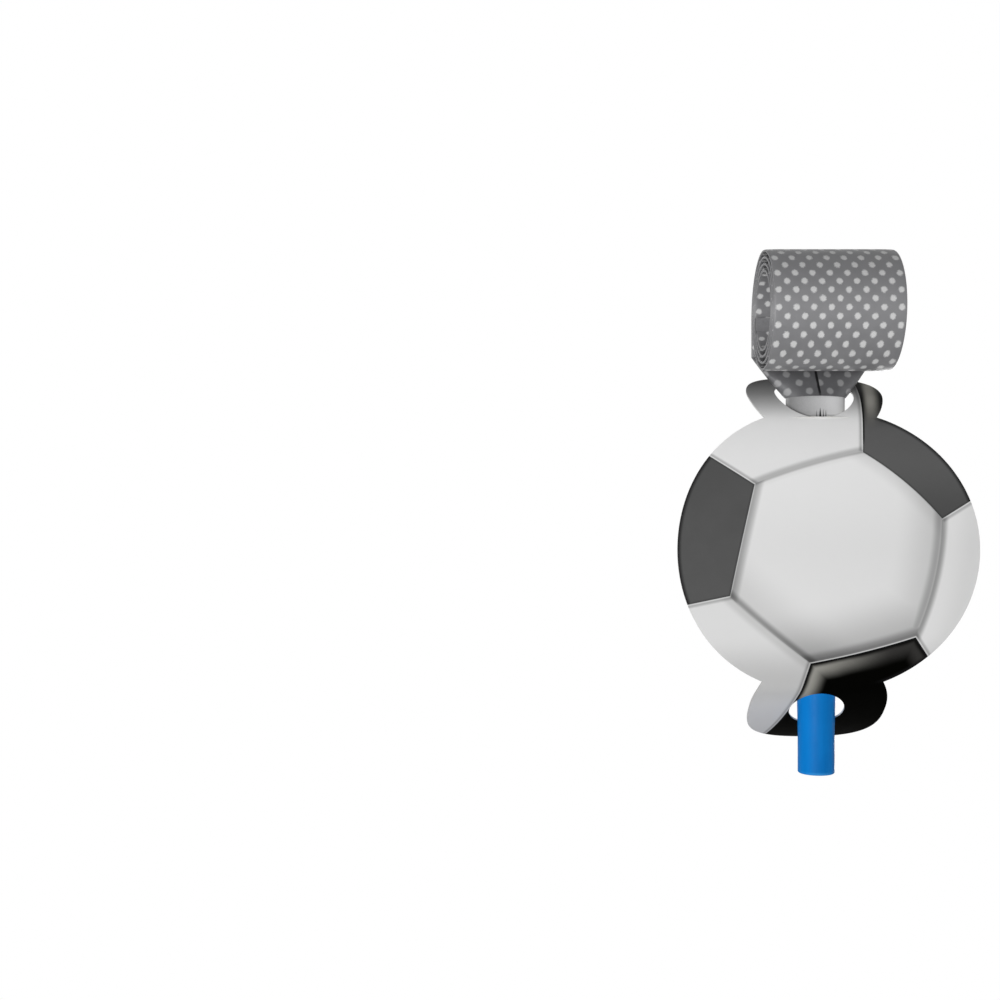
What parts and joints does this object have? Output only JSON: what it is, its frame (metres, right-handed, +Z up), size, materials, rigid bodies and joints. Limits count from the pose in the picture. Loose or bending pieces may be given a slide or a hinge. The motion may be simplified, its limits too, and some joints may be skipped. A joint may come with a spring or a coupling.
{
  "type": "party horn blower",
  "caption": "Rolled paper party blower on a plastic mouthpiece, with a round two-tabbed ball-patterned card threaded over it and a beating reed inside.",
  "frame": {"origin": "centre of the mouthpiece's open lower end, where the lips hold it", "axes": "+Z up the mouthpiece towards the roll, +X to the viewer's right across the roll's width, +Y away from the viewer, behind the card"},
  "size_m": [0.0742, 0.0448, 0.1313],
  "materials": {
    "mouthpiece_plastic": "semi-gloss blue polypropylene",
    "reed_plastic": "natural white moulded plastic",
    "reed_film": "thin amber film",
    "plain_paper": "matt white unprinted paper",
    "printed_paper": "satin grey print with pale dots",
    "printed_card": "coated white card with black printed panels",
    "spring_steel": "bright drawn wire"
  },
  "bodies": {
    "mouthpiece": {"mouthpiece_tube": "mouthpiece_plastic", "reed_block": "reed_plastic", "reed_wedge": "reed_plastic", "collar_paper": "plain_paper", "neck_paper": "printed_paper", "paper_tube_root": "printed_paper", "spring_wire_root": "spring_steel"},
    "reed_tongue": {"reed_tongue": "reed_film"},
    "medallion": {"medallion_card": "printed_card"},
    "link_01": {"paper_tube_01": "printed_paper", "spring_wire_01": "spring_steel"},
    "link_02": {"paper_tube_02": "printed_paper", "spring_wire_02": "spring_steel"},
    "link_03": {"paper_tube_03": "printed_paper", "spring_wire_03": "spring_steel"},
    "link_04": {"paper_tube_04": "printed_paper", "spring_wire_04": "spring_steel"},
    "link_05": {"paper_tube_05": "printed_paper", "spring_wire_05": "spring_steel"},
    "link_06": {"paper_tube_06": "printed_paper", "spring_wire_06": "spring_steel"},
    "link_07": {"paper_tube_07": "printed_paper", "spring_wire_07": "spring_steel"},
    "link_08": {"paper_tube_08": "printed_paper", "spring_wire_08": "spring_steel"},
    "link_09": {"paper_tube_09": "printed_paper", "spring_wire_09": "spring_steel"},
    "link_10": {"paper_tube_10": "printed_paper", "spring_wire_10": "spring_steel"},
    "link_11": {"paper_tube_11": "printed_paper", "spring_wire_11": "spring_steel"},
    "link_12": {"paper_tube_12": "printed_paper", "spring_wire_12": "spring_steel"},
    "link_13": {"paper_tube_13": "printed_paper", "spring_wire_13": "spring_steel"},
    "link_14": {"paper_tube_14": "printed_paper", "spring_wire_14": "spring_steel"},
    "link_15": {"paper_tube_15": "printed_paper", "spring_wire_15": "spring_steel"},
    "link_16": {"paper_tube_16": "printed_paper", "spring_wire_16": "spring_steel"},
    "link_17": {"paper_tube_17": "printed_paper", "spring_wire_17": "spring_steel"},
    "link_18": {"paper_tube_18": "printed_paper", "spring_wire_18": "spring_steel"},
    "link_19": {"paper_tube_19": "printed_paper", "spring_wire_19": "spring_steel"},
    "link_20": {"paper_tube_20": "printed_paper", "spring_wire_20": "spring_steel"},
    "link_21": {"paper_tube_21": "printed_paper", "spring_wire_21": "spring_steel"},
    "link_22": {"paper_tube_22": "printed_paper", "spring_wire_22": "spring_steel"},
    "link_23": {"paper_tube_23": "printed_paper", "spring_wire_23": "spring_steel"},
    "link_24": {"paper_tube_24": "printed_paper", "spring_wire_24": "spring_steel", "end_seal": "plain_paper"}
  },
  "joints": [
    {"name": "medallion_turn", "type": "hinge", "parent": "mouthpiece", "child": "medallion", "pos_m": [0, 0, 0.0157], "axis": [0, 0, 1], "range_deg": [-12, 12]},
    {"name": "reed_beat", "type": "hinge", "parent": "mouthpiece", "child": "reed_tongue", "pos_m": [0, -0.00041, 0.071], "axis": [1, 0, 0], "range_deg": [-1.2, 1.2], "stiffness_Nm_per_rad": 0.0001},
    {"name": "uncoil_01", "type": "hinge", "parent": "mouthpiece", "child": "link_01", "pos_m": [0, 0.0048, 0.1157], "axis": [-1, 0, 0], "range_deg": [0, 30], "stiffness_Nm_per_rad": 0.022, "springref_deg": 1.23},
    {"name": "uncoil_02", "type": "hinge", "parent": "link_01", "child": "link_02", "pos_m": [0, -0.003, 0.12921], "axis": [-1, 0, 0], "range_deg": [0, 60], "stiffness_Nm_per_rad": 0.015, "springref_deg": 0.94},
    {"name": "uncoil_03", "type": "hinge", "parent": "link_02", "child": "link_03", "pos_m": [0, -0.01833, 0.12921], "axis": [-1, 0, 0], "range_deg": [0, 60], "stiffness_Nm_per_rad": 0.014, "springref_deg": -0.93},
    {"name": "uncoil_04", "type": "hinge", "parent": "link_03", "child": "link_04", "pos_m": [0, -0.02587, 0.11616], "axis": [-1, 0, 0], "range_deg": [0, 60], "stiffness_Nm_per_rad": 0.018, "springref_deg": -1.52},
    {"name": "uncoil_05", "type": "hinge", "parent": "link_04", "child": "link_05", "pos_m": [0, -0.01847, 0.10334], "axis": [-1, 0, 0], "range_deg": [0, 60], "stiffness_Nm_per_rad": 0.012, "springref_deg": -1.2},
    {"name": "uncoil_06", "type": "hinge", "parent": "link_05", "child": "link_06", "pos_m": [0, -0.00393, 0.10334], "axis": [-1, 0, 0], "range_deg": [0, 60], "stiffness_Nm_per_rad": 0.011, "springref_deg": 0.72},
    {"name": "uncoil_07", "type": "hinge", "parent": "link_06", "child": "link_07", "pos_m": [0, 0.0032, 0.1157], "axis": [-1, 0, 0], "range_deg": [0, 60], "stiffness_Nm_per_rad": 0.014, "springref_deg": 1.21},
    {"name": "uncoil_08", "type": "hinge", "parent": "link_07", "child": "link_08", "pos_m": [0, -0.0038, 0.12782], "axis": [-1, 0, 0], "range_deg": [0, 60], "stiffness_Nm_per_rad": 0.009, "springref_deg": 0.99},
    {"name": "uncoil_09", "type": "hinge", "parent": "link_08", "child": "link_09", "pos_m": [0, -0.01753, 0.12782], "axis": [-1, 0, 0], "range_deg": [0, 60], "stiffness_Nm_per_rad": 0.0084, "springref_deg": -0.92},
    {"name": "uncoil_10", "type": "hinge", "parent": "link_09", "child": "link_10", "pos_m": [0, -0.02427, 0.11616], "axis": [-1, 0, 0], "range_deg": [0, 60], "stiffness_Nm_per_rad": 0.011, "springref_deg": -1.49},
    {"name": "uncoil_11", "type": "hinge", "parent": "link_10", "child": "link_11", "pos_m": [0, -0.01767, 0.10473], "axis": [-1, 0, 0], "range_deg": [0, 60], "stiffness_Nm_per_rad": 0.0065, "springref_deg": -1.35},
    {"name": "uncoil_12", "type": "hinge", "parent": "link_11", "child": "link_12", "pos_m": [0, -0.00473, 0.10473], "axis": [-1, 0, 0], "range_deg": [0, 60], "stiffness_Nm_per_rad": 0.0057, "springref_deg": 0.74},
    {"name": "uncoil_13", "type": "hinge", "parent": "link_12", "child": "link_13", "pos_m": [0, 0.0016, 0.1157], "axis": [-1, 0, 0], "range_deg": [0, 60], "stiffness_Nm_per_rad": 0.0075, "springref_deg": 1.25},
    {"name": "uncoil_14", "type": "hinge", "parent": "link_13", "child": "link_14", "pos_m": [0, -0.0046, 0.12644], "axis": [-1, 0, 0], "range_deg": [0, 60], "stiffness_Nm_per_rad": 0.005, "springref_deg": 0.99},
    {"name": "uncoil_15", "type": "hinge", "parent": "link_14", "child": "link_15", "pos_m": [0, -0.01673, 0.12644], "axis": [-1, 0, 0], "range_deg": [0, 60], "stiffness_Nm_per_rad": 0.0045, "springref_deg": -0.83},
    {"name": "uncoil_16", "type": "hinge", "parent": "link_15", "child": "link_16", "pos_m": [0, -0.02267, 0.11616], "axis": [-1, 0, 0], "range_deg": [0, 60], "stiffness_Nm_per_rad": 0.0053, "springref_deg": -1.54},
    {"name": "uncoil_17", "type": "hinge", "parent": "link_16", "child": "link_17", "pos_m": [0, -0.01687, 0.10612], "axis": [-1, 0, 0], "range_deg": [0, 60], "stiffness_Nm_per_rad": 0.003, "springref_deg": -1.5},
    {"name": "uncoil_18", "type": "hinge", "parent": "link_17", "child": "link_18", "pos_m": [0, -0.00553, 0.10612], "axis": [-1, 0, 0], "range_deg": [0, 60], "stiffness_Nm_per_rad": 0.0024, "springref_deg": 0.65},
    {"name": "uncoil_19", "type": "hinge", "parent": "link_18", "child": "link_19", "pos_m": [0, 0, 0.1157], "axis": [-1, 0, 0], "range_deg": [0, 60], "stiffness_Nm_per_rad": 0.0031, "springref_deg": 1.21},
    {"name": "uncoil_20", "type": "hinge", "parent": "link_19", "child": "link_20", "pos_m": [0, -0.0054, 0.12505], "axis": [-1, 0, 0], "range_deg": [0, 60], "stiffness_Nm_per_rad": 0.002, "springref_deg": 1.02},
    {"name": "uncoil_21", "type": "hinge", "parent": "link_20", "child": "link_21", "pos_m": [0, -0.01593, 0.12505], "axis": [-1, 0, 0], "range_deg": [0, 60], "stiffness_Nm_per_rad": 0.0017, "springref_deg": -0.58},
    {"name": "uncoil_22", "type": "hinge", "parent": "link_21", "child": "link_22", "pos_m": [0, -0.02107, 0.11616], "axis": [-1, 0, 0], "range_deg": [0, 60], "stiffness_Nm_per_rad": 0.0016, "springref_deg": -1.49},
    {"name": "uncoil_23", "type": "hinge", "parent": "link_22", "child": "link_23", "pos_m": [0, -0.01607, 0.1075], "axis": [-1, 0, 0], "range_deg": [0, 60], "stiffness_Nm_per_rad": 0.00094, "springref_deg": -1.56},
    {"name": "uncoil_24", "type": "hinge", "parent": "link_23", "child": "link_24", "pos_m": [0, -0.00633, 0.1075], "axis": [-1, 0, 0], "range_deg": [0, 60], "stiffness_Nm_per_rad": 0.00022, "springref_deg": -1.25}
  ],
  "couplings": [
    {"joint": "uncoil_02", "follows": "uncoil_01", "ratio": 2},
    {"joint": "uncoil_03", "follows": "uncoil_01", "ratio": 2},
    {"joint": "uncoil_04", "follows": "uncoil_01", "ratio": 2},
    {"joint": "uncoil_05", "follows": "uncoil_01", "ratio": 2},
    {"joint": "uncoil_06", "follows": "uncoil_01", "ratio": 2},
    {"joint": "uncoil_07", "follows": "uncoil_01", "ratio": 2},
    {"joint": "uncoil_08", "follows": "uncoil_01", "ratio": 2},
    {"joint": "uncoil_09", "follows": "uncoil_01", "ratio": 2},
    {"joint": "uncoil_10", "follows": "uncoil_01", "ratio": 2},
    {"joint": "uncoil_11", "follows": "uncoil_01", "ratio": 2},
    {"joint": "uncoil_12", "follows": "uncoil_01", "ratio": 2},
    {"joint": "uncoil_13", "follows": "uncoil_01", "ratio": 2},
    {"joint": "uncoil_14", "follows": "uncoil_01", "ratio": 2},
    {"joint": "uncoil_15", "follows": "uncoil_01", "ratio": 2},
    {"joint": "uncoil_16", "follows": "uncoil_01", "ratio": 2},
    {"joint": "uncoil_17", "follows": "uncoil_01", "ratio": 2},
    {"joint": "uncoil_18", "follows": "uncoil_01", "ratio": 2},
    {"joint": "uncoil_19", "follows": "uncoil_01", "ratio": 2},
    {"joint": "uncoil_20", "follows": "uncoil_01", "ratio": 2},
    {"joint": "uncoil_21", "follows": "uncoil_01", "ratio": 2},
    {"joint": "uncoil_22", "follows": "uncoil_01", "ratio": 2},
    {"joint": "uncoil_23", "follows": "uncoil_01", "ratio": 2},
    {"joint": "uncoil_24", "follows": "uncoil_01", "ratio": 2}
  ]
}
